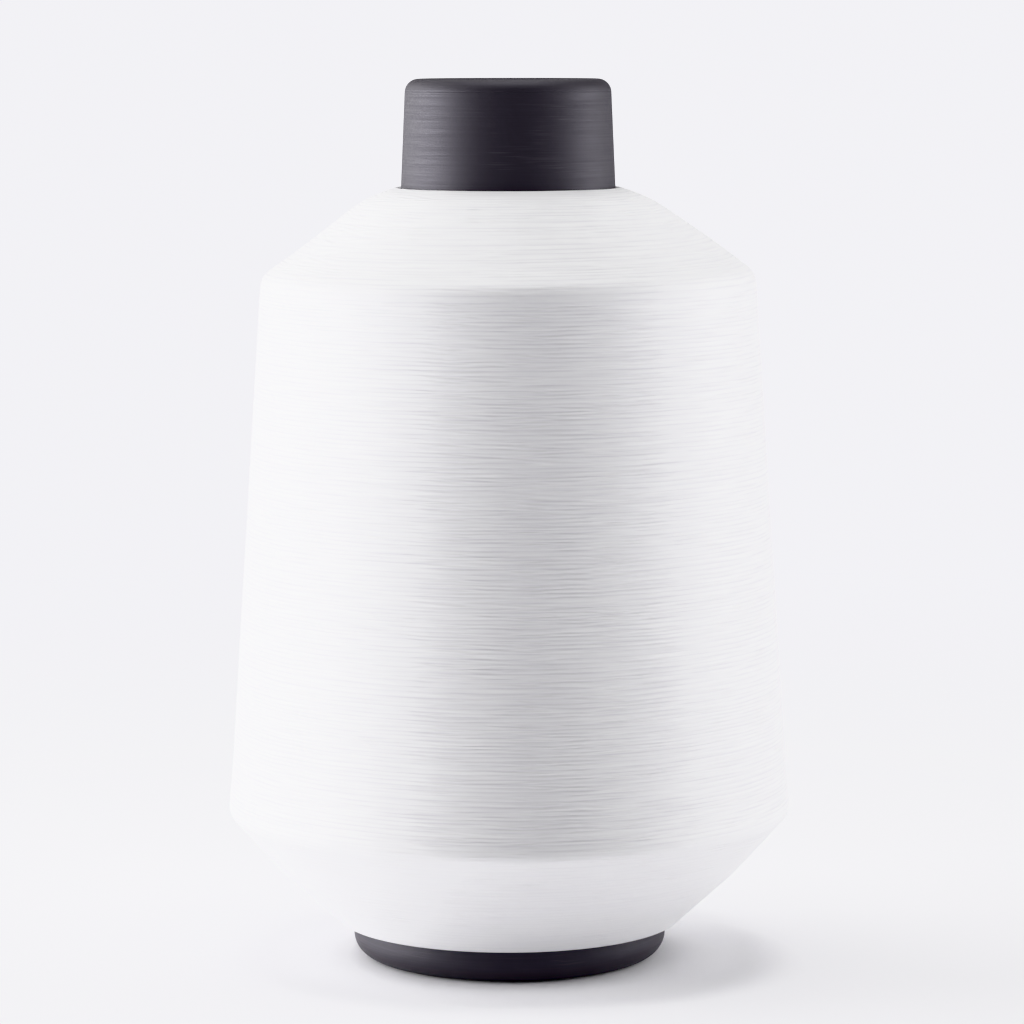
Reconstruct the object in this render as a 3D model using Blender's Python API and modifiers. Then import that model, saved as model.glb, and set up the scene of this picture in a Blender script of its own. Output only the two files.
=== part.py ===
"""A cone of sewing thread: white thread wound on a dark moulded plastic cone tube.

The origin is on the surface that the cone stands on, at the middle of its foot, and +Z runs up its axis.
Both pieces are turned bodies: an outline of rounded corners, swept round the axis by a Screw modifier.
"""

import math
from typing import NamedTuple

import bpy
from mathutils import Matrix, Vector

MM = 0.001

# Both pieces
TURN_STEPS = 64  # flats round each piece
ARC_STEP = math.radians(15)  # largest turn between two points of a rounded corner
SHARP_ANGLE = math.radians(35)
MERGE_DISTANCE = 0.00001
GAP = 0.3 * MM  # between the thread and the tube

# Materials, in linear colour
PLASTIC_COLOUR = (0.018, 0.017, 0.021)
PLASTIC_ROUGHNESS = 0.42
THREAD_COLOUR = (0.86, 0.86, 0.87)
THREAD_ROUGHNESS = 0.75

# Cone tube: its outer side is two straight cones that meet just under the thread's shoulder
HEIGHT = 230 * MM
NOSE_TOP_RADIUS = 26.65 * MM
NOSE_ROUNDING = 3.6 * MM
NOSE_LOWER_RADIUS = 27.95 * MM
NOSE_LOWER_HEIGHT = 200 * MM
NOSE_BEND_ROUNDING = 60 * MM
FOOT_RADIUS = 41.5 * MM  # where the long cone would meet the floor
FOOT_ROUNDING = 6.0 * MM
WALL = 2.2 * MM

# Cone tube: the lip round the hole in the nose, and the thick ring inside the foot
NOSE_HOLE_RADIUS = 21.5 * MM
NOSE_LIP_DEPTH = 4.5 * MM
NOSE_LIP_SLOPE = 4.0 * MM  # height over which the lip runs out into the wall
FOOT_HOLE_RADIUS = 31.5 * MM
FOOT_RING_HEIGHT = 6.0 * MM
FOOT_RING_SLOPE = 8.0 * MM  # height over which the ring runs out into the wall
LIP_ROUNDING = 1.0 * MM

# Wound thread: how high it sits on the tube, and how thick it is there
THREAD_TOP = 202.3 * MM
THREAD_BOTTOM = 9.1 * MM
THREAD_EDGE_ROUNDING = 0.9 * MM
THREAD_FOOT_RADIUS = 44.2 * MM  # the lower end stands this far out before it bevels
THREAD_FOOT_ROUNDING = 2.8 * MM


class Corner(NamedTuple):
    """One corner of a turned outline, with the radius of the arc that rounds it."""

    radius: float
    height: float
    rounding: float = 0.0


# The thread's outer side: the shoulder, a slight flare low on the side, and the full, two-part bevel
THREAD_SIDE = [
    Corner(radius=36.8 * MM, height=199.5 * MM, rounding=36 * MM),
    Corner(radius=64.3 * MM, height=179.4 * MM, rounding=6 * MM),
    Corner(radius=72.75 * MM, height=50.0 * MM, rounding=60 * MM),
    Corner(radius=73.8 * MM, height=38.9 * MM, rounding=4 * MM),
    Corner(radius=60.2 * MM, height=23.7 * MM, rounding=60 * MM),
]


def new_collection(name):
    """Add a collection to the scene."""
    collection = bpy.data.collections.new(name)
    bpy.context.scene.collection.children.link(collection)
    return collection


def make_material(name, colour, roughness):
    """Make a non-metallic Principled material."""
    material = bpy.data.materials.new(name)
    material.use_nodes = True
    material.diffuse_color = (*colour, 1.0)
    shader = material.node_tree.nodes["Principled BSDF"]
    shader.inputs["Base Color"].default_value = (*colour, 1.0)
    shader.inputs["Roughness"].default_value = roughness
    shader.inputs["Metallic"].default_value = 0.0
    return material


def rounded_corner(before, corner, after):
    """Return the points of one corner's arc, or the corner itself where it isn't rounded."""
    middle = Vector((corner.radius, corner.height))
    if corner.rounding == 0:
        return [middle]
    to_before = (Vector((before.radius, before.height)) - middle).normalized()
    to_after = (Vector((after.radius, after.height)) - middle).normalized()
    turn = math.pi - to_before.angle(to_after)
    start = middle + to_before * corner.rounding * math.tan(turn / 2)
    centre = middle + (to_before + to_after).normalized() * corner.rounding / math.cos(turn / 2)
    signed_turn = math.copysign(turn, to_before.y * to_after.x - to_before.x * to_after.y)
    steps = max(2, math.ceil(turn / ARC_STEP))
    spokes = [Matrix.Rotation(signed_turn * step / steps, 2) for step in range(steps + 1)]
    return [centre + spoke @ (start - centre) for spoke in spokes]


def rounded_outline(corners):
    """Return the points of a closed outline whose corners are rounded as their rows say."""
    points = []
    for index, corner in enumerate(corners):
        after = corners[(index + 1) % len(corners)]
        points += rounded_corner(corners[index - 1], corner, after)
    return points


def turned_piece(name, corners, material, collection):
    """Sweep an outline round the axis. The outline runs down its outer side and back up its inner side."""
    points = rounded_outline(corners)
    ring = [(index, (index + 1) % len(points)) for index in range(len(points))]
    mesh = bpy.data.meshes.new(name + "_outline")
    mesh.from_pydata([(point.x, 0.0, point.y) for point in points], ring, [])
    piece = bpy.data.objects.new(name, mesh)
    collection.objects.link(piece)

    screw = piece.modifiers.new("turn", "SCREW")
    screw.axis = "Z"
    screw.angle = 2 * math.pi
    screw.steps = TURN_STEPS
    screw.render_steps = TURN_STEPS
    screw.use_merge_vertices = True
    screw.merge_threshold = MERGE_DISTANCE

    solid = bpy.data.meshes.new_from_object(piece.evaluated_get(bpy.context.evaluated_depsgraph_get()))
    solid.name = name
    solid.shade_smooth()
    solid.set_sharp_from_angle(angle=SHARP_ANGLE)
    solid.materials.append(material)
    piece.modifiers.clear()
    piece.data = solid
    bpy.data.meshes.remove(mesh)
    return piece


def tube_radius(height):
    """Return the outer radius of the tube's side at a height, its roundings aside."""
    if height > NOSE_LOWER_HEIGHT:
        share = (height - NOSE_LOWER_HEIGHT) / (HEIGHT - NOSE_LOWER_HEIGHT)
        return NOSE_LOWER_RADIUS + (NOSE_TOP_RADIUS - NOSE_LOWER_RADIUS) * share
    return FOOT_RADIUS + (NOSE_LOWER_RADIUS - FOOT_RADIUS) * height / NOSE_LOWER_HEIGHT


def inner_wall(height):
    """Return the corner of the tube's inner wall at a height."""
    return Corner(tube_radius(height) - WALL, height, LIP_ROUNDING)


def make_cone_tube(collection):
    """Make the hollow plastic tube, with its nose lip and foot ring."""
    lip_bottom = HEIGHT - NOSE_LIP_DEPTH
    corners = [
        Corner(NOSE_HOLE_RADIUS, HEIGHT, LIP_ROUNDING),
        Corner(NOSE_TOP_RADIUS, HEIGHT, NOSE_ROUNDING),
        Corner(NOSE_LOWER_RADIUS, NOSE_LOWER_HEIGHT, NOSE_BEND_ROUNDING),
        Corner(FOOT_RADIUS, 0.0, FOOT_ROUNDING),
        Corner(FOOT_HOLE_RADIUS, 0.0, LIP_ROUNDING),
        Corner(FOOT_HOLE_RADIUS, FOOT_RING_HEIGHT, LIP_ROUNDING),
        inner_wall(FOOT_RING_HEIGHT + FOOT_RING_SLOPE),
        inner_wall(NOSE_LOWER_HEIGHT),
        inner_wall(lip_bottom - NOSE_LIP_SLOPE),
        Corner(NOSE_HOLE_RADIUS, lip_bottom, LIP_ROUNDING),
    ]
    plastic = make_material("charcoal_plastic", PLASTIC_COLOUR, PLASTIC_ROUGHNESS)
    return turned_piece("cone_tube", corners, plastic, collection)


def make_thread_package(collection):
    """Make the wound thread as one ring-shaped body round the tube."""
    bore_top = Corner(tube_radius(THREAD_TOP) + GAP, THREAD_TOP, THREAD_EDGE_ROUNDING)
    bore_bend = Corner(tube_radius(NOSE_LOWER_HEIGHT) + GAP, NOSE_LOWER_HEIGHT)
    bore_bottom = Corner(tube_radius(THREAD_BOTTOM) + GAP, THREAD_BOTTOM, GAP)
    foot = Corner(THREAD_FOOT_RADIUS, THREAD_BOTTOM, THREAD_FOOT_ROUNDING)
    corners = [bore_top, *THREAD_SIDE, foot, bore_bottom, bore_bend]
    thread = make_material("white_thread", THREAD_COLOUR, THREAD_ROUGHNESS)
    return turned_piece("thread_package", corners, thread, collection)


def main():
    """Clear the scene and build both pieces."""
    for old in list(bpy.data.objects):
        bpy.data.objects.remove(old)
    collection = new_collection("cone_of_thread")
    make_cone_tube(collection)
    make_thread_package(collection)


main()
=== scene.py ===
"""Looks of a cone of sewing thread: a fine turned plastic tube and a wound thread body with its turns.

Both pieces are sections turned about the +Z axis. The thread's section carries a few numbers on its points,
such as how many turns lie above one and how far they stand out there, and Geometry Nodes lay the turns
from them.
"""

import logging
import math
import random
from collections.abc import Sequence
from dataclasses import dataclass, field
from enum import Enum
from functools import reduce
from typing import NamedTuple

import bpy
from mathutils import Matrix, Vector


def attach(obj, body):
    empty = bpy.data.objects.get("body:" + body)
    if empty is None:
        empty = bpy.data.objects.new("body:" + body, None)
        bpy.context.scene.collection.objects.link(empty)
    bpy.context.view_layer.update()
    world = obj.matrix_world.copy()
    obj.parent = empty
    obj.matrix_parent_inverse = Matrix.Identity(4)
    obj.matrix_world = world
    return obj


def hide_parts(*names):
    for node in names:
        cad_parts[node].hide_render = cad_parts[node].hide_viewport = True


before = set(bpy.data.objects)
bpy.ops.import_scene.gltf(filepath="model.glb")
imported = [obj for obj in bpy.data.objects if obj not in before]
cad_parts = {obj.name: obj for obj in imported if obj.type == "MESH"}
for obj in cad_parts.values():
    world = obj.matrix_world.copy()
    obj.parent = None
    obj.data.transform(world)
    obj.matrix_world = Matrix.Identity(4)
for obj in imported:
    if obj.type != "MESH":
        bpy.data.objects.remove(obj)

LOG = logging.getLogger("cone_of_thread")
MM = 0.001
BODY = "root"

Colour = tuple[float, float, float]
Lengths = tuple[float, float, float]  # one for each axis
Point = tuple[float, float, float]
Band = tuple[float, float]  # from and to
Socket = bpy.types.NodeSocket
Input = Socket | float | tuple[float, ...] | bpy.types.Material


class Node(Enum):
    """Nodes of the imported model."""

    TUBE = "cone_tube"
    THREAD = "thread_package"


class Slot(Enum):
    """Material slots of the record."""

    PLASTIC = "charcoal_plastic"
    THREAD = "white_thread"


class Attribute(Enum):
    """Numbers that the points of the thread's section carry into the swept mesh."""

    TURNS = "turns"  # how many turns lie above a point
    CROWN = "crown"  # 0 between two turns, 1 along the crown of a turn
    RELIEF = "relief"  # how far turns stand out there, as a share
    LEAN = "lean"  # how far the surface there faces up, as an angle
    HOLLOW = "hollow"  # how deep a point lies between two turns, as a share


# ---------------------------------------------------------------- sections


class Corner(NamedTuple):
    """One corner of a turned section, with the radius of the arc that rounds it."""

    radius: float
    height: float
    rounding: float = 0.0


def rounded_corner(before: Corner, corner: Corner, after: Corner, arc_step: float) -> list[Vector]:
    """Round one corner of a section.

    Args:
        before: the corner that comes before it.
        corner: the corner to round.
        after: the corner that comes after it.
        arc_step: the largest turn between two points of the arc, in radians.

    Returns:
        The points of the arc, or the corner itself where it isn't rounded.
    """
    middle = Vector((corner.radius, corner.height))
    if corner.rounding == 0:
        return [middle]
    to_before = (Vector((before.radius, before.height)) - middle).normalized()
    to_after = (Vector((after.radius, after.height)) - middle).normalized()
    turn = math.pi - to_before.angle(to_after)
    start = middle + to_before * corner.rounding * math.tan(turn / 2)
    centre = middle + (to_before + to_after).normalized() * corner.rounding / math.cos(turn / 2)
    signed_turn = math.copysign(turn, to_before.y * to_after.x - to_before.x * to_after.y)
    steps = max(2, math.ceil(turn / arc_step))
    spokes = [Matrix.Rotation(signed_turn * step / steps, 2) for step in range(steps + 1)]
    return [centre + spoke @ (start - centre) for spoke in spokes]


def rounded_section(corners: Sequence[Corner], arc_step: float) -> list[Vector]:
    """Round the corners of a closed section.

    Args:
        corners: the corners, down the outer side and back up the inner side.
        arc_step: the largest turn between two points of an arc, in radians.

    Returns:
        The section's points.
    """
    points: list[Vector] = []
    for index, corner in enumerate(corners):
        after = corners[(index + 1) % len(corners)]
        points += rounded_corner(corners[index - 1], corner, after, arc_step)
    return points


@dataclass
class Path:
    """A line of points in a section, read by the distance along it."""

    points: list[Vector]
    marks: list[float] = field(init=False)

    def __post_init__(self) -> None:
        """Measure the distance of each point from the start."""
        self.marks = [0.0]
        for before, after in zip(self.points, self.points[1:]):
            self.marks.append(self.marks[-1] + (after - before).length)

    @property
    def length(self) -> float:
        """The whole length of the line."""
        return self.marks[-1]

    def at(self, distance: float) -> Vector:
        """Find a point of the line.

        Args:
            distance: how far along the line it is.

        Returns:
            The point.
        """
        for index, mark in enumerate(self.marks[1:], start=1):
            if distance <= mark or index == len(self.marks) - 1:
                start, end = self.points[index - 1], self.points[index]
                share = (distance - self.marks[index - 1]) / (mark - self.marks[index - 1])
                return start.lerp(end, min(1.0, max(0.0, share)))
        return self.points[-1]

    def lean(self, distance: float) -> float:
        """Work out how far the surface faces up.

        Args:
            distance: how far along the line.

        Returns:
            The angle, in radians: 0 on an upright side.
        """
        reach = 0.25 * MM  # half of the stretch that it is taken over
        step = self.at(min(self.length, distance + reach)) - self.at(max(0.0, distance - reach))
        return math.atan2(step.x, -step.y)

    def distance_at_height(self, height: float) -> float:
        """Find where the line first comes down to a height.

        Args:
            height: the height.

        Returns:
            The distance along the line.
        """
        for index, (before, after) in enumerate(zip(self.points, self.points[1:])):
            if before.y >= height > after.y:
                share = (before.y - height) / (before.y - after.y)
                return self.marks[index] + share * (after - before).length
        return self.length


# ---------------------------------------------------------------- node trees


class Sketch:
    """Adds nodes to a tree and links them, so that a formula reads as nested calls."""

    def __init__(self, tree: bpy.types.NodeTree) -> None:
        """Start on a tree."""
        self.tree = tree

    def node(self, kind: str, *feeds: Input | None, **settings: object) -> bpy.types.Node:
        """Add a node.

        Args:
            kind: the node's type.
            feeds: what goes into its inputs, in order; None leaves an input as it is.
            settings: the node's own properties.

        Returns:
            The node.
        """
        node = self.tree.nodes.new(kind)
        for name, value in settings.items():
            setattr(node, name, value)
        inputs = [socket for socket in node.inputs if socket.enabled]
        for socket, value in zip(inputs, feeds):
            if value is not None:
                self.feed(socket, value)
        return node

    def feed(self, socket: Socket, value: Input) -> None:
        """Link a socket to another, or set its own value.

        Args:
            socket: the socket to feed.
            value: the other socket, or the value.
        """
        if isinstance(value, bpy.types.NodeSocket):
            self.tree.links.new(value, socket)
        else:
            socket.default_value = value

    def math(self, operation: str, *values: Input) -> Socket:
        """Return one number worked out from others."""
        return self.node("ShaderNodeMath", *values, operation=operation).outputs[0]

    def product(self, first: Input, *others: Input) -> Socket:
        """Return several numbers multiplied together."""
        return reduce(lambda so_far, value: self.math("MULTIPLY", so_far, value), others, first)

    def vector(self, operation: str, *values: Input) -> Socket:
        """Return one vector worked out from others."""
        return self.node("ShaderNodeVectorMath", *values, operation=operation).outputs[0]

    def combined(self, x: Input, y: Input, z: Input) -> Socket:
        """Return a vector made of three numbers."""
        return self.node("ShaderNodeCombineXYZ", x, y, z).outputs[0]

    def centred(self, noise: Socket, reach: Input) -> Socket:
        """Return noise about zero that strays a given distance each way."""
        return self.product(self.math("MULTIPLY_ADD", noise, 2.0, -1.0), reach)

    def attribute(self, attribute: Attribute) -> Socket:
        """Read a number that the mesh carries, in a Geometry Nodes tree.

        Args:
            attribute: which number.

        Returns:
            The number.
        """
        node = self.node("GeometryNodeInputNamedAttribute", data_type="FLOAT")
        node.inputs["Name"].default_value = attribute.value
        return node.outputs[0]

    def noise(self, place: Input, reach: Lengths, detail: float) -> Socket:
        """Return smooth noise between 0 and 1.

        Args:
            place: the point that it is read at.
            reach: how long one swell is along each axis, in metres.
            detail: how many finer layers it has.

        Returns:
            The noise's value.
        """
        scale = tuple(1.0 / length for length in reach)
        node = self.node("ShaderNodeTexNoise", noise_dimensions="3D")
        self.feed(node.inputs["Vector"], self.vector("MULTIPLY", place, scale))
        self.feed(node.inputs["Scale"], 1.0)
        self.feed(node.inputs["Detail"], detail)
        return node.outputs[0]

    def mixed(self, share: Socket, first: Colour, second: Colour) -> Socket:
        """Mix two colours.

        Args:
            share: how much of the second it takes.
            first: the first colour.
            second: the second colour.

        Returns:
            The mixed colour.
        """
        mix = self.node("ShaderNodeMix", data_type="RGBA")
        self.feed(mix.inputs["Factor"], share)
        colours = [socket for socket in mix.inputs if socket.enabled and socket.type == "RGBA"]
        for socket, colour in zip(colours, (first, second)):
            socket.default_value = (*colour, 1.0)
        return next(socket for socket in mix.outputs if socket.enabled)

    def bump(self, shader: bpy.types.Node, height: Socket, relief: float) -> None:
        """Give a shader fine relief.

        Args:
            shader: the shader.
            height: the relief's pattern, between 0 and 1.
            relief: how high it stands, in metres.
        """
        bump = self.node("ShaderNodeBump")
        bump.inputs["Distance"].default_value = relief
        self.feed(bump.inputs["Height"], height)
        self.feed(shader.inputs["Normal"], bump.outputs[0])

    def remap(self, value: Input, band: Band, target: Band = (0.0, 1.0)) -> Socket:
        """Move a number smoothly from one range to another, and hold it inside.

        Args:
            value: the number.
            band: the range that it comes from.
            target: the range that it goes to.

        Returns:
            The moved number.
        """
        node = self.node("ShaderNodeMapRange", interpolation_type="SMOOTHSTEP")
        for name, number in zip(("From Min", "From Max", "To Min", "To Max"), (*band, *target)):
            node.inputs[name].default_value = number
        self.feed(node.inputs["Value"], value)
        return node.outputs[0]


@dataclass(frozen=True)
class Lay:
    """How the thread's turns lie, in the named inputs of the Geometry Nodes tree."""

    segments: int = 320  # flats round the body
    mandrel: float = 50 * MM  # radius of the circle that the section is swept along
    depth: float = 0.062 * MM  # from the crown of a turn to the hollow between two
    stray: float = 0.28 * MM  # how far turns stray from level
    proud: float = 0.045 * MM  # how far one turn stands out over another
    swell: float = 0.07 * MM  # slow unevenness of the whole body
    slump: float = 0.9 * MM  # how far the shoulder sinks on its low side and rises on its high side
    low_side: tuple[float, float] = (-0.71, -0.71)  # the direction of the shoulder's low side
    slump_rise: Band = (170 * MM, 186 * MM)  # heights over which the slump comes in
    slump_fall: Band = (186 * MM, 201 * MM)  # heights over which it runs out again
    stray_reach: Lengths = (17 * MM, 17 * MM, 2.2 * MM)
    proud_reach: Lengths = (20 * MM, 20 * MM, 0.8 * MM)
    swell_reach: Lengths = (38 * MM, 38 * MM, 24 * MM)
    hollow_reach: Lengths = (14 * MM, 14 * MM, 1.0 * MM)  # of places where turns lie close or open
    hollow_band: Band = (0.34, 0.66)  # noise from which turns lie closest and most open
    hollow_share: Band = (0.3, 1.0)  # how deep a hollow is there
    seed: float = 4.0

    @property
    def inputs(self) -> dict[str, float]:
        """The tree's named inputs that are plain numbers, and their values."""
        return {
            "Mandrel Radius": self.mandrel,
            "Turn Depth": self.depth,
            "Stray": self.stray,
            "Proud Turns": self.proud,
            "Swell": self.swell,
            "Slump": self.slump,
            "Seed": self.seed,
        }

    def tree(self) -> bpy.types.NodeTree:
        """Build the tree that sweeps a section round the axis and lays the turns on it.

        Returns:
            The tree, which ends in Realize Instances and Set Material.
        """
        tree = bpy.data.node_groups.new("lay_thread_turns", "GeometryNodeTree")
        tree.is_modifier = True
        sketch = Sketch(tree)
        sockets = dict.fromkeys(self.inputs, "NodeSocketFloat")
        sockets |= {"Segments": "NodeSocketInt", "Material": "NodeSocketMaterial"}
        for name, kind in ({"Section": "NodeSocketGeometry"} | sockets).items():
            tree.interface.new_socket(name, in_out="INPUT", socket_type=kind)
        tree.interface.new_socket("Geometry", in_out="OUTPUT", socket_type="NodeSocketGeometry")
        given = sketch.node("NodeGroupInput").outputs

        section = sketch.node("GeometryNodeMeshToCurve", given["Section"]).outputs[0]
        circle = sketch.node("GeometryNodeCurvePrimitiveCircle", mode="RADIUS")
        sketch.feed(circle.inputs["Resolution"], given["Segments"])
        sketch.feed(circle.inputs["Radius"], given["Mandrel Radius"])
        level = sketch.node("GeometryNodeSetCurveNormal", circle.outputs[0], mode="Z_UP").outputs[0]
        body = sketch.node("GeometryNodeCurveToMesh", level, section).outputs[0]

        place = sketch.node("GeometryNodeInputPosition").outputs[0]
        seeded = sketch.vector("ADD", place, sketch.combined(0.0, 0.0, given["Seed"]))
        hollow = self.hollow(sketch, seeded)
        marked = sketch.node("GeometryNodeStoreNamedAttribute", data_type="FLOAT", domain="POINT")
        sketch.feed(marked.inputs["Geometry"], body)
        sketch.feed(marked.inputs["Name"], Attribute.HOLLOW.value)
        sketch.feed(marked.inputs["Value"], hollow)
        laid = sketch.node("GeometryNodeSetPosition")
        sketch.feed(laid.inputs["Geometry"], marked.outputs[0])
        sketch.feed(laid.inputs["Offset"], self.offset(sketch, given, place, seeded))

        realized = sketch.node("GeometryNodeRealizeInstances", laid.outputs[0])
        dressed = sketch.node("GeometryNodeSetMaterial")
        sketch.feed(dressed.inputs["Geometry"], realized.outputs[0])
        sketch.feed(dressed.inputs["Material"], given["Material"])
        sketch.node("NodeGroupOutput", dressed.outputs[0])
        return tree

    def hollow(self, sketch: Sketch, seeded: Socket) -> Socket:
        """Work out how deep each point lies between two turns.

        Args:
            sketch: the tree's sketch.
            seeded: the point's place, moved by the seed.

        Returns:
            The depth, as a share of the deepest.
        """
        close = sketch.noise(seeded, self.hollow_reach, detail=2.0)
        fade = sketch.remap(close, self.hollow_band, self.hollow_share)
        between = sketch.math("SUBTRACT", 1.0, sketch.attribute(Attribute.CROWN))
        return sketch.product(between, fade, sketch.attribute(Attribute.RELIEF))

    def sunk(self, sketch: Sketch, given: bpy.types.NodeOutputs, place: Socket, level: Socket) -> Socket:
        """Work out how far the uneven shoulder sinks at each point.

        Args:
            sketch: the tree's sketch.
            given: the tree's named inputs.
            place: the point's place.
            level: the direction straight out from the axis.

        Returns:
            The distance down, in metres.
        """
        low = (*self.low_side, 0.0)
        toward = sketch.node("ShaderNodeVectorMath", level, low, operation="DOT_PRODUCT").outputs["Value"]
        height = sketch.node("ShaderNodeSeparateXYZ", place).outputs["Z"]
        rising = sketch.remap(height, self.slump_rise)
        falling = sketch.remap(height, self.slump_fall, (1.0, 0.0))
        return sketch.product(toward, sketch.product(rising, falling), given["Slump"])

    def offset(self, sketch: Sketch, given: bpy.types.NodeOutputs, place: Socket, seeded: Socket) -> Socket:
        """Work out where each point moves to.

        Args:
            sketch: the tree's sketch.
            given: the tree's named inputs.
            place: the point's place.
            seeded: its place, moved by the seed.

        Returns:
            The move, as a vector in metres.
        """
        relief = sketch.attribute(Attribute.RELIEF)
        proud = sketch.centred(sketch.noise(seeded, self.proud_reach, detail=1.0), given["Proud Turns"])
        swell = sketch.centred(sketch.noise(seeded, self.swell_reach, detail=1.0), given["Swell"])
        stray = sketch.centred(sketch.noise(seeded, self.stray_reach, detail=2.0), given["Stray"])
        cut = sketch.product(sketch.attribute(Attribute.HOLLOW), given["Turn Depth"])
        raised = sketch.product(sketch.math("ADD", proud, swell), relief)
        out = sketch.math("SUBTRACT", raised, cut)
        down = sketch.product(stray, relief)

        lean = sketch.attribute(Attribute.LEAN)
        rise, reach = sketch.math("SINE", lean), sketch.math("COSINE", lean)
        outward = sketch.math("ADD", sketch.product(out, reach), sketch.product(down, rise))
        upward = sketch.math("SUBTRACT", sketch.product(out, rise), sketch.product(down, reach))
        level = sketch.vector("NORMALIZE", sketch.vector("MULTIPLY", place, (1.0, 1.0, 0.0)))
        across = sketch.vector("MULTIPLY", level, sketch.combined(outward, outward, 0.0))
        settled = sketch.math("SUBTRACT", upward, self.sunk(sketch, given, place, level))
        return sketch.vector("ADD", across, sketch.combined(0.0, 0.0, settled))


# ---------------------------------------------------------------- finishes


def about(middle: float, spread: float) -> Band:
    """Return the band that reaches a given distance each way from a number."""
    return middle - spread, middle + spread


def new_material(name: str) -> tuple[bpy.types.Material, Sketch, bpy.types.Node]:
    """Make a material.

    Args:
        name: its name.

    Returns:
        The material, a sketch of its tree, and its Principled shader.
    """
    material = bpy.data.materials.new(name)
    material.use_nodes = True
    return material, Sketch(material.node_tree), material.node_tree.nodes["Principled BSDF"]


@dataclass(frozen=True)
class ThreadFinish:
    """White textured filament thread."""

    light: Colour = (0.922, 0.920, 0.926)
    # a darker white: the colour goes towards it between two turns as painted shade, and along the streaks
    # as random tone
    shade: Colour = (0.74, 0.73, 0.76)
    crown_shade: float = 0.15  # share of the shade along the crown of a turn
    painted_hollow_shade: float = 0.8  # painted shade: how much more of the darker colour there is between two turns
    streak_shade: float = 0.45  # how much more or less of it there is in a streak
    streak: Lengths = (16 * MM, 16 * MM, 0.5 * MM)  # a lighter or darker stretch of one turn
    streak_step: float = 1 * MM  # how far the noise moves on from one turn to the next
    roughness: float = 0.50
    roughness_spread: float = 0.08
    filament: Lengths = (3 * MM, 3 * MM, 0.16 * MM)
    filament_band: Band = (0.2, 0.8)
    filament_share: float = 0.35  # its height against that of a crossing turn
    crossings: tuple[int, int] = (19, -23)  # turns that each crossing layer gains or loses in one round
    patch: Lengths = (14 * MM, 14 * MM, 1.4 * MM)  # a place where a crossing layer shows
    patch_band: Band = (0.45, 0.7)
    patch_share: Band = (0.0, 0.6)
    layer_step: float = 70 * MM  # how far the noise moves on from one crossing layer to the next
    relief: float = 0.07 * MM  # full height of a crossing turn, in the shading alone

    def make(self) -> bpy.types.Material:
        """Build the material.

        Returns:
            The material.
        """
        material, sketch, shader = new_material(Slot.THREAD.value)
        place = sketch.node("ShaderNodeTexCoord").outputs["Object"]
        parts = sketch.node("ShaderNodeSeparateXYZ", place).outputs
        turns, hollow, relief = (
            sketch.node("ShaderNodeAttribute", attribute_name=attribute.value).outputs["Fac"]
            for attribute in (Attribute.TURNS, Attribute.HOLLOW, Attribute.RELIEF)
        )
        along = sketch.combined(parts["X"], parts["Y"], sketch.product(turns, self.streak_step))
        streaks = sketch.centred(sketch.noise(along, self.streak, detail=1.0), relief)
        streaked = sketch.math("MULTIPLY_ADD", streaks, self.streak_shade, self.crown_shade)
        # Painted shade: the colour darkens between two turns, where shade falls, on top of the mesh's own
        # hollows
        tone_and_painted_shade = sketch.math("MULTIPLY_ADD", hollow, self.painted_hollow_shade, streaked)
        sketch.feed(shader.inputs["Base Color"], sketch.mixed(tone_and_painted_shade, self.light, self.shade))
        fibres = sketch.noise(place, self.filament, detail=2.0)
        roughness = sketch.remap(fibres, self.filament_band, about(self.roughness, self.roughness_spread))
        sketch.feed(shader.inputs["Roughness"], roughness)
        crossed = self.crossed(sketch, place, turns, sketch.math("ARCTAN2", parts["Y"], parts["X"]))
        sketch.bump(shader, sketch.math("MULTIPLY_ADD", fibres, self.filament_share, crossed), self.relief)
        return material

    def crossed(self, sketch: Sketch, place: Socket, turns: Socket, angle: Socket) -> Socket:
        """Draw the turns of the layers below, which cross the top one at small angles and show in patches.

        Args:
            sketch: the material's sketch.
            place: the point's place on the object.
            turns: how many turns lie above it.
            angle: where it lies round the axis.

        Returns:
            The height of the crossing turns, as a share.
        """
        heights = []
        for layer, gain in enumerate(self.crossings, start=1):
            phase = sketch.math("MULTIPLY_ADD", turns, 2 * math.pi, sketch.product(angle, float(gain)))
            moved = sketch.vector("ADD", place, (0.0, 0.0, layer * self.layer_step))
            patches = sketch.noise(moved, self.patch, detail=1.0)
            shown = sketch.remap(patches, self.patch_band, self.patch_share)
            heights.append(sketch.product(sketch.math("SINE", phase), shown))
        return sketch.math("ADD", *heights)


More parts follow.
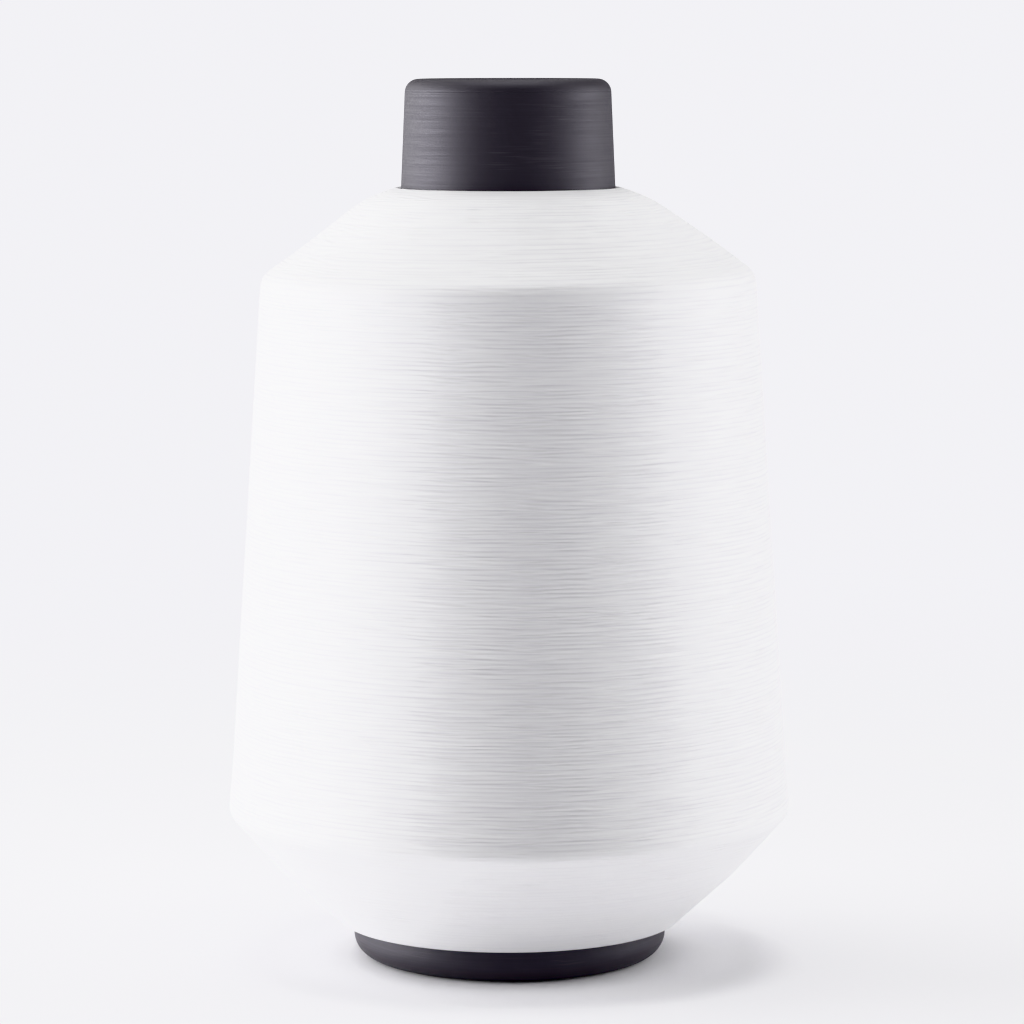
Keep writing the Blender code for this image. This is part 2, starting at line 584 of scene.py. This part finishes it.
@dataclass(frozen=True)
class PlasticFinish:
    """Satin moulded charcoal plastic, turned smooth and lightly scuffed."""

    colour: Colour = (0.0400, 0.037, 0.0418)
    worn: Colour = (0.085, 0.081, 0.087)
    wear: float = 0.5  # how far the colour of a scratch goes to the worn one
    line: Lengths = (30 * MM, 30 * MM, 0.35 * MM)  # a turning line
    line_band: Band = (0.25, 0.75)
    line_share: float = 0.3  # its height against the depth of the groove
    scratch: Lengths = (10 * MM, 10 * MM, 0.3 * MM)
    scratch_band: Band = (0.54, 0.68)
    patch: Lengths = (18 * MM, 18 * MM, 7 * MM)  # a place that has been handled
    patch_band: Band = (0.48, 0.68)
    roughness: float = 0.61
    roughness_spread: float = 0.05
    scratch_roughness: float = 0.1  # how much rougher a scratch is
    shine: float = 0.64  # 0.5 is plain plastic
    shine_tint: Colour = (0.885, 0.855, 1.0)
    groove_height: float = 226.9 * MM  # a fine line round the nose, at the foot of its rounding
    groove_half_width: float = 0.35 * MM
    relief: float = 0.06 * MM  # depth of the groove, in the shading alone

    def make(self) -> bpy.types.Material:
        """Build the material.

        Returns:
            The material.
        """
        material, sketch, shader = new_material(Slot.PLASTIC.value)
        place = sketch.node("ShaderNodeTexCoord").outputs["Object"]
        height = sketch.node("ShaderNodeSeparateXYZ", place).outputs["Z"]
        lines = sketch.noise(place, self.line, detail=3.0)
        scratches = sketch.remap(sketch.noise(place, self.scratch, detail=1.0), self.scratch_band)
        handled = sketch.remap(sketch.noise(place, self.patch, detail=1.0), self.patch_band)
        scuffed = sketch.product(handled, scratches)
        worn = sketch.product(scuffed, self.wear)
        sketch.feed(shader.inputs["Base Color"], sketch.mixed(worn, self.colour, self.worn))
        turned = sketch.remap(lines, self.line_band, about(self.roughness, self.roughness_spread))
        roughness = sketch.math("MULTIPLY_ADD", scuffed, self.scratch_roughness, turned)
        sketch.feed(shader.inputs["Roughness"], roughness)
        shader.inputs["Specular IOR Level"].default_value = self.shine
        shader.inputs["Specular Tint"].default_value = (*self.shine_tint, 1.0)
        away = sketch.math("ABSOLUTE", sketch.math("SUBTRACT", height, self.groove_height))
        level = sketch.math("SUBTRACT", 1.0, sketch.remap(away, (0.0, self.groove_half_width), (1.0, 0.0)))
        sketch.bump(shader, sketch.math("MULTIPLY_ADD", lines, self.line_share, level), self.relief)
        return material


# ---------------------------------------------------------------- pieces


def closed_loop(name: str, points: Sequence[Point]) -> bpy.types.Object:
    """Make an object of a closed loop of edges, for a modifier to turn into a body.

    Args:
        name: its name.
        points: its points.

    Returns:
        The object, linked to the scene.
    """
    ring = [(index, (index + 1) % len(points)) for index in range(len(points))]
    mesh = bpy.data.meshes.new(name + "_section")
    mesh.from_pydata(points, ring, [])
    piece = bpy.data.objects.new(name, mesh)
    bpy.context.scene.collection.objects.link(piece)
    return piece


def settle(piece: bpy.types.Object) -> bpy.types.Object:
    """Turn what a piece's modifiers make into its own plain mesh.

    Args:
        piece: the object.

    Returns:
        The same object.
    """
    drawn = piece.data
    solid = bpy.data.meshes.new_from_object(piece.evaluated_get(bpy.context.evaluated_depsgraph_get()))
    solid.name = piece.name
    piece.modifiers.clear()
    piece.data = solid
    bpy.data.meshes.remove(drawn)
    return piece


def add_tree(piece: bpy.types.Object, tree: bpy.types.NodeTree, values: dict[str, Input]) -> None:
    """Put a Geometry Nodes tree on a piece and fill in its named inputs.

    Args:
        piece: the object.
        tree: the tree.
        values: what goes into each named input.
    """
    modifier = piece.modifiers.new(tree.name, "NODES")
    modifier.node_group = tree
    for item in tree.interface.items_tree:
        if item.item_type == "SOCKET" and item.in_out == "INPUT" and item.name in values:
            modifier[item.identifier] = values[item.name]


def declare(piece: bpy.types.Object, node: Node) -> None:
    """Hang a finished piece on its body, hide the node that it stands for, and report it.

    Args:
        piece: the piece.
        node: the node that it stands for.
    """
    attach(piece, BODY)
    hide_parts(node.value)
    LOG.info("%s: %d faces, stands for %s", piece.name, len(piece.data.polygons), node.value)


@dataclass
class ConeTube:
    """The hollow plastic tube, in the form of its CAD node with finer roundings."""

    height: float = 230 * MM
    nose_top_radius: float = 26.65 * MM
    nose_rounding: float = 3.6 * MM
    nose_lower_radius: float = 27.95 * MM
    nose_lower_height: float = 200 * MM
    nose_bend_rounding: float = 60 * MM
    foot_radius: float = 41.5 * MM
    foot_rounding: float = 6.0 * MM
    wall: float = 2.2 * MM
    nose_hole_radius: float = 21.5 * MM
    lip_depth: float = 4.5 * MM
    lip_slope: float = 4.0 * MM
    foot_hole_radius: float = 31.5 * MM
    ring_height: float = 6.0 * MM
    ring_slope: float = 8.0 * MM
    lip_rounding: float = 1.0 * MM
    turn_steps: int = 256
    arc_step: float = math.radians(5)
    merge_distance: float = 0.01 * MM

    def radius(self, height: float) -> float:
        """Work out the radius of the outer side, its roundings aside.

        Args:
            height: the height.

        Returns:
            The radius there.
        """
        if height > self.nose_lower_height:
            share = (height - self.nose_lower_height) / (self.height - self.nose_lower_height)
            return self.nose_lower_radius + (self.nose_top_radius - self.nose_lower_radius) * share
        narrowing = self.nose_lower_radius - self.foot_radius
        return self.foot_radius + narrowing * height / self.nose_lower_height

    def inner(self, height: float) -> Corner:
        """Return the corner of the inner wall at a height."""
        return Corner(self.radius(height) - self.wall, height, self.lip_rounding)

    def section(self) -> list[Vector]:
        """Draw the tube's section.

        Returns:
            Its points.
        """
        lip_bottom = self.height - self.lip_depth
        corners = [
            Corner(self.nose_hole_radius, self.height, self.lip_rounding),
            Corner(self.nose_top_radius, self.height, self.nose_rounding),
            Corner(self.nose_lower_radius, self.nose_lower_height, self.nose_bend_rounding),
            Corner(self.foot_radius, 0.0, self.foot_rounding),
            Corner(self.foot_hole_radius, 0.0, self.lip_rounding),
            Corner(self.foot_hole_radius, self.ring_height, self.lip_rounding),
            self.inner(self.ring_height + self.ring_slope),
            self.inner(self.nose_lower_height),
            self.inner(lip_bottom - self.lip_slope),
            Corner(self.nose_hole_radius, lip_bottom, self.lip_rounding),
        ]
        return rounded_section(corners, self.arc_step)

    def build(self, finish: PlasticFinish) -> bpy.types.Object:
        """Turn the tube and dress it.

        Args:
            finish: the plastic.

        Returns:
            The finished piece.
        """
        piece = closed_loop("plastic_cone_tube", [(point.x, 0.0, point.y) for point in self.section()])
        screw = piece.modifiers.new("turn", "SCREW")
        screw.axis = "Z"
        screw.angle = 2 * math.pi
        screw.steps = screw.render_steps = self.turn_steps
        screw.use_merge_vertices = True
        screw.merge_threshold = self.merge_distance
        settle(piece)
        piece.data.shade_smooth()
        piece.data.materials.append(finish.make())
        declare(piece, Node.TUBE)
        return piece


class Zone(NamedTuple):
    """A stretch of the thread's outer side that is wound in one way."""

    name: str
    bottom: float  # the height where it ends
    pitch: float  # distance between two turns
    uneven: float  # how far one turn's width differs from another's, as a share
    relief: float  # how far its turns stand out, as a share


class Row(NamedTuple):
    """One row of the thread's mesh, which runs round the body."""

    distance: float  # from the top edge, along the outer side
    turns: float  # how many turns lie above it
    crown: float  # 0 between two turns, 1 along the crown of a turn


@dataclass
class WoundThread:
    """The thread body: one closed ring for each zone, which together have the form of its CAD node."""

    tube: ConeTube
    top: float = 202.3 * MM
    bottom: float = 9.1 * MM
    gap: float = 0.3 * MM
    edge_rounding: float = 0.9 * MM
    foot_radius: float = 44.2 * MM
    foot_rounding: float = 2.8 * MM
    side: tuple[Corner, ...] = (
        Corner(36.8 * MM, 199.5 * MM, 36 * MM),
        Corner(64.3 * MM, 179.4 * MM, 6 * MM),
        Corner(72.75 * MM, 50.0 * MM, 60 * MM),
        Corner(73.8 * MM, 38.9 * MM, 4 * MM),
        Corner(60.2 * MM, 23.7 * MM, 60 * MM),
    )
    zones: tuple[Zone, ...] = (
        Zone("thread_shoulder", 176.0 * MM, 1.5 * MM, 0.45, 0.8),
        Zone("thread_upper_side", 131.0 * MM, 1.1 * MM, 0.24, 1.0),
        Zone("thread_middle_side", 86.0 * MM, 1.1 * MM, 0.24, 1.0),
        Zone("thread_lower_side", 41.0 * MM, 1.1 * MM, 0.24, 1.0),
        Zone("thread_lower_end", 0.0, 1.2 * MM, 0.3, 0.25),
    )
    turn_rows: tuple[tuple[float, float], ...] = ((0.0, 0.0), (0.16, 0.8), (0.5, 1.0), (0.84, 0.8))
    change: float = 3.0 * MM  # length over which one zone's relief runs into the next
    edge_fade: float = 1.2 * MM  # length over which the relief fades in from both ends
    arc_step: float = math.radians(4)
    sharp_angle: float = math.radians(60)
    point_spacing: float = 0.05 * MM  # the least between two points where a zone's ring closes
    seed: int = 7

    def outer_side(self) -> Path:
        """Draw the outer side, from the bore's top edge to its bottom edge.

        Returns:
            The line.
        """
        top = Corner(self.tube.radius(self.top) + self.gap, self.top, self.edge_rounding)
        bottom = Corner(self.tube.radius(self.bottom) + self.gap, self.bottom, self.gap)
        foot = Corner(self.foot_radius, self.bottom, self.foot_rounding)
        above, below = self.bore(self.tube.nose_lower_height), self.bore(self.top / 2)
        corners = [above, top, *self.side, foot, bottom, below]
        points: list[Vector] = []
        for before, corner, after in zip(corners, corners[1:], corners[2:]):
            points += rounded_corner(before, corner, after, self.arc_step)
        return Path(points)

    def bore(self, height: float) -> Corner:
        """Return the corner of the bore at a height."""
        return Corner(self.tube.radius(height) + self.gap, height)

    def relief_at(self, path: Path, distance: float, ends: Sequence[float]) -> float:
        """Work out how far turns stand out.

        Args:
            path: the outer side.
            distance: how far along it.
            ends: where each zone ends.

        Returns:
            The share of the full relief.
        """
        share = self.zones[0].relief
        for zone, end in zip(self.zones[1:], ends):
            passed = min(1.0, max(0.0, (distance - end) / self.change + 0.5))
            share += (zone.relief - share) * passed
        return share * min(1.0, distance / self.edge_fade, (path.length - distance) / self.edge_fade)

    def rows(self, zone: Zone, start: float, end: float, above: int, chance: random.Random) -> list[Row]:
        """Lay out the rows of one zone, from one hollow between two turns to another.

        Args:
            zone: the zone.
            start: where it starts, along the outer side.
            end: where it ends.
            above: how many turns lie above it.
            chance: where the differences between turns come from.

        Returns:
            The rows, from the top down.
        """
        count = round((end - start) / zone.pitch)
        widths = [1.0 + zone.uneven * chance.uniform(-1.0, 1.0) for _ in range(count)]
        scale = (end - start) / sum(widths)
        rows = []
        distance = start
        for turn, width in enumerate(widths, start=above):
            for share, crown in self.turn_rows:
                rows.append(Row(distance + width * scale * share, turn + share, crown))
            distance += width * scale
        return rows + [Row(end, above + count, 0.0)]

    def build(self, finish: ThreadFinish, lay: Lay) -> list[bpy.types.Object]:
        """Wind the thread and dress it.

        Args:
            finish: the thread's material.
            lay: how its turns lie.

        Returns:
            The finished pieces, from the top down.
        """
        path = self.outer_side()
        ends = [path.distance_at_height(zone.bottom) for zone in self.zones[:-1]] + [path.length]
        chance = random.Random(self.seed)
        tree = lay.tree()
        values = lay.inputs | {"Segments": lay.segments, "Material": finish.make()}
        pieces = []
        start, above = 0.0, 0
        for zone, end in zip(self.zones, ends):
            rows = self.rows(zone, start, end, above, chance)
            outer = [path.at(row.distance) for row in rows]
            inner = self.bore_points(outer[-1], outer[0])
            # The tree sweeps the XY plane: X is out from the mandrel, and -Y is up
            places = [(point.x - lay.mandrel, -point.y, 0.0) for point in outer + inner]
            piece = closed_loop(zone.name, places)
            numbers = {
                Attribute.TURNS: [row.turns for row in rows],
                Attribute.CROWN: [row.crown for row in rows],
                Attribute.RELIEF: [self.relief_at(path, row.distance, ends) for row in rows],
                Attribute.LEAN: [path.lean(row.distance) for row in rows],
            }
            for attribute, outer_numbers in numbers.items():
                self.carry(piece, attribute, outer_numbers + [0.0] * len(inner))
            add_tree(piece, tree, values)
            settle(piece)
            piece.data.shade_smooth()
            piece.data.set_sharp_from_angle(angle=self.sharp_angle)
            declare(piece, Node.THREAD)
            pieces.append(piece)
            start, above = end, round(rows[-1].turns)
        return pieces

    def bore_points(self, below: Vector, above: Vector) -> list[Vector]:
        """Find the points that close a zone's section along the bore.

        Args:
            below: the lowest point of its outer side.
            above: the highest point of its outer side.

        Returns:
            The points, from the bottom up.
        """
        heights = [below.y, above.y]
        if below.y < self.tube.nose_lower_height < above.y:
            heights.insert(1, self.tube.nose_lower_height)
        points = [Vector((self.bore(height).radius, height)) for height in heights]
        clear = self.point_spacing
        return [point for point in points if min((point - below).length, (point - above).length) > clear]

    @staticmethod
    def carry(piece: bpy.types.Object, attribute: Attribute, values: Sequence[float]) -> None:
        """Store a number on each point of a section."""
        piece.data.attributes.new(attribute.value, "FLOAT", "POINT").data.foreach_set("value", values)


# ---------------------------------------------------------------- studio


class SoftBox(NamedTuple):
    """A rectangular lamp, aimed at the middle of the object."""

    name: str
    azimuth: float  # degrees round from the camera's side, to the camera's right
    elevation: float  # degrees
    width: float
    height: float
    radiance: float  # brightness of its face


@dataclass
class Studio:
    """Floor, backdrop, soft light and camera."""

    lens: float = 147.66
    sensor_width: float = 36.0
    pitch: float = math.radians(6.443)
    roll: float = math.radians(-0.098)
    camera_place: Point = (0.84 * MM, -1.0930, 0.2405)
    backdrop_colour: Colour = (0.966, 0.961, 1.0)
    backdrop_glow: float = 1.27
    backdrop_radius: float = 4.0
    floor_margin: float = 0.5  # how far the floor reaches under the backdrop
    rim_steps: int = 96
    floor_colour: Colour = (0.93, 0.925, 0.946)
    floor_roughness: float = 0.8
    fade_start: float = 0.12  # where the floor starts to fade into the backdrop
    fade_end: float = 0.8
    sky: float = 0.02
    aim: Point = (0.0, 0.0, 0.115)
    lamp_distance: float = 1.3
    soft_boxes: tuple[SoftBox, ...] = (
        SoftBox("left_low", -80, 3, 0.4, 0.3, 17.6),
        SoftBox("left_side_low", -95, 3, 0.4, 0.3, 14.3),
        SoftBox("left_rear_low", -110, 3, 0.4, 0.3, 9.5),
        SoftBox("left_panel", -90, 20, 0.8, 1.0, 3.8),
        SoftBox("left_rear_panel", -130, 20, 0.8, 1.0, 2.4),
        SoftBox("right_low", 95, 3, 0.4, 0.3, 10.6),
        SoftBox("right_panel", 90, 20, 0.8, 1.0, 2.8),
        SoftBox("right_rear_panel", 110, 20, 0.8, 1.0, 1.3),
        SoftBox("rear_high", 180, 50, 0.7, 0.7, 1.2),
        SoftBox("overhead", 0, 89, 0.8, 0.8, 5.3),
    )

    def build(self) -> None:
        """Set up the whole studio."""
        self.place_camera()
        self.lay_floor()
        self.hang_backdrop()
        self.light()
        bpy.context.scene.view_settings.view_transform = "Khronos PBR Neutral"

    def place_camera(self) -> None:
        """Make the camera at the photograph's viewing angle."""
        data = bpy.data.cameras.new("camera")
        data.lens = self.lens
        data.sensor_width = self.sensor_width
        camera = bpy.data.objects.new("camera", data)
        bpy.context.scene.collection.objects.link(camera)
        turn = Matrix.Rotation(math.pi / 2 - self.pitch, 4, "X") @ Matrix.Rotation(self.roll, 4, "Z")
        camera.matrix_world = Matrix.Translation(self.camera_place) @ turn
        bpy.context.scene.camera = camera

    def glow(self, sketch: Sketch) -> Socket:
        """Return a shader with the backdrop's light."""
        glow = tuple(self.backdrop_glow * part for part in self.backdrop_colour)
        return sketch.node("ShaderNodeEmission", (*glow, 1.0)).outputs[0]

    def lay_floor(self) -> None:
        """Lay the pale floor, which fades into the backdrop's light away from the object."""
        bpy.ops.mesh.primitive_circle_add(
            vertices=self.rim_steps, radius=self.backdrop_radius + self.floor_margin, fill_type="NGON"
        )
        floor = bpy.context.object
        floor.name = "studio_floor"
        material, sketch, shader = new_material("studio_floor")
        shader.inputs["Base Color"].default_value = (*self.floor_colour, 1.0)
        shader.inputs["Roughness"].default_value = self.floor_roughness
        shader.inputs["Specular IOR Level"].default_value = 0.0
        place = sketch.node("ShaderNodeTexCoord").outputs["Object"]
        away = sketch.node("ShaderNodeVectorMath", place, operation="LENGTH").outputs["Value"]
        fade = sketch.remap(away, (self.fade_start, self.fade_end))
        mix = sketch.node("ShaderNodeMixShader", fade, shader.outputs[0], self.glow(sketch))
        sketch.feed(material.node_tree.nodes["Material Output"].inputs["Surface"], mix.outputs[0])
        floor.data.materials.append(material)

    def hang_backdrop(self) -> None:
        """Hang the pale backdrop all round. Only the camera sees it, so it doesn't light the object."""
        radius = self.backdrop_radius
        bpy.ops.mesh.primitive_cylinder_add(
            vertices=self.rim_steps, radius=radius, depth=2 * radius, end_fill_type="NOTHING"
        )
        backdrop = bpy.context.object
        backdrop.name = "studio_backdrop"
        material, sketch, _ = new_material("studio_backdrop")
        sketch.feed(material.node_tree.nodes["Material Output"].inputs["Surface"], self.glow(sketch))
        backdrop.data.materials.append(material)
        backdrop.visible_diffuse = backdrop.visible_glossy = backdrop.visible_shadow = False

    def light(self) -> None:
        """Hang the soft boxes and set the sky."""
        world = bpy.data.worlds.new("studio")
        bpy.context.scene.world = world
        world.use_nodes = True
        background = world.node_tree.nodes["Background"]
        background.inputs["Color"].default_value = (*self.backdrop_colour, 1.0)
        background.inputs["Strength"].default_value = self.sky
        for box in self.soft_boxes:
            data = bpy.data.lights.new(box.name, "AREA")
            data.shape = "RECTANGLE"
            data.size, data.size_y = box.width, box.height
            data.energy = box.radiance * box.width * box.height * math.pi
            lamp = bpy.data.objects.new(box.name, data)
            bpy.context.scene.collection.objects.link(lamp)
            azimuth, elevation = math.radians(box.azimuth), math.radians(box.elevation)
            level = math.cos(elevation)
            away = Vector((math.sin(azimuth) * level, -math.cos(azimuth) * level, math.sin(elevation)))
            lamp.location = Vector(self.aim) + away * self.lamp_distance
            lamp.rotation_euler = away.to_track_quat("Z", "Y").to_euler()
            lamp.visible_camera = False


def main() -> None:
    """Build the studio and both pieces."""
    logging.basicConfig(level=logging.INFO, format="%(name)s: %(message)s")
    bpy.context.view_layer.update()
    Studio().build()
    tube = ConeTube()
    tube.build(PlasticFinish())
    WoundThread(tube).build(ThreadFinish(), Lay())


if __name__ == "__main__":
    main()
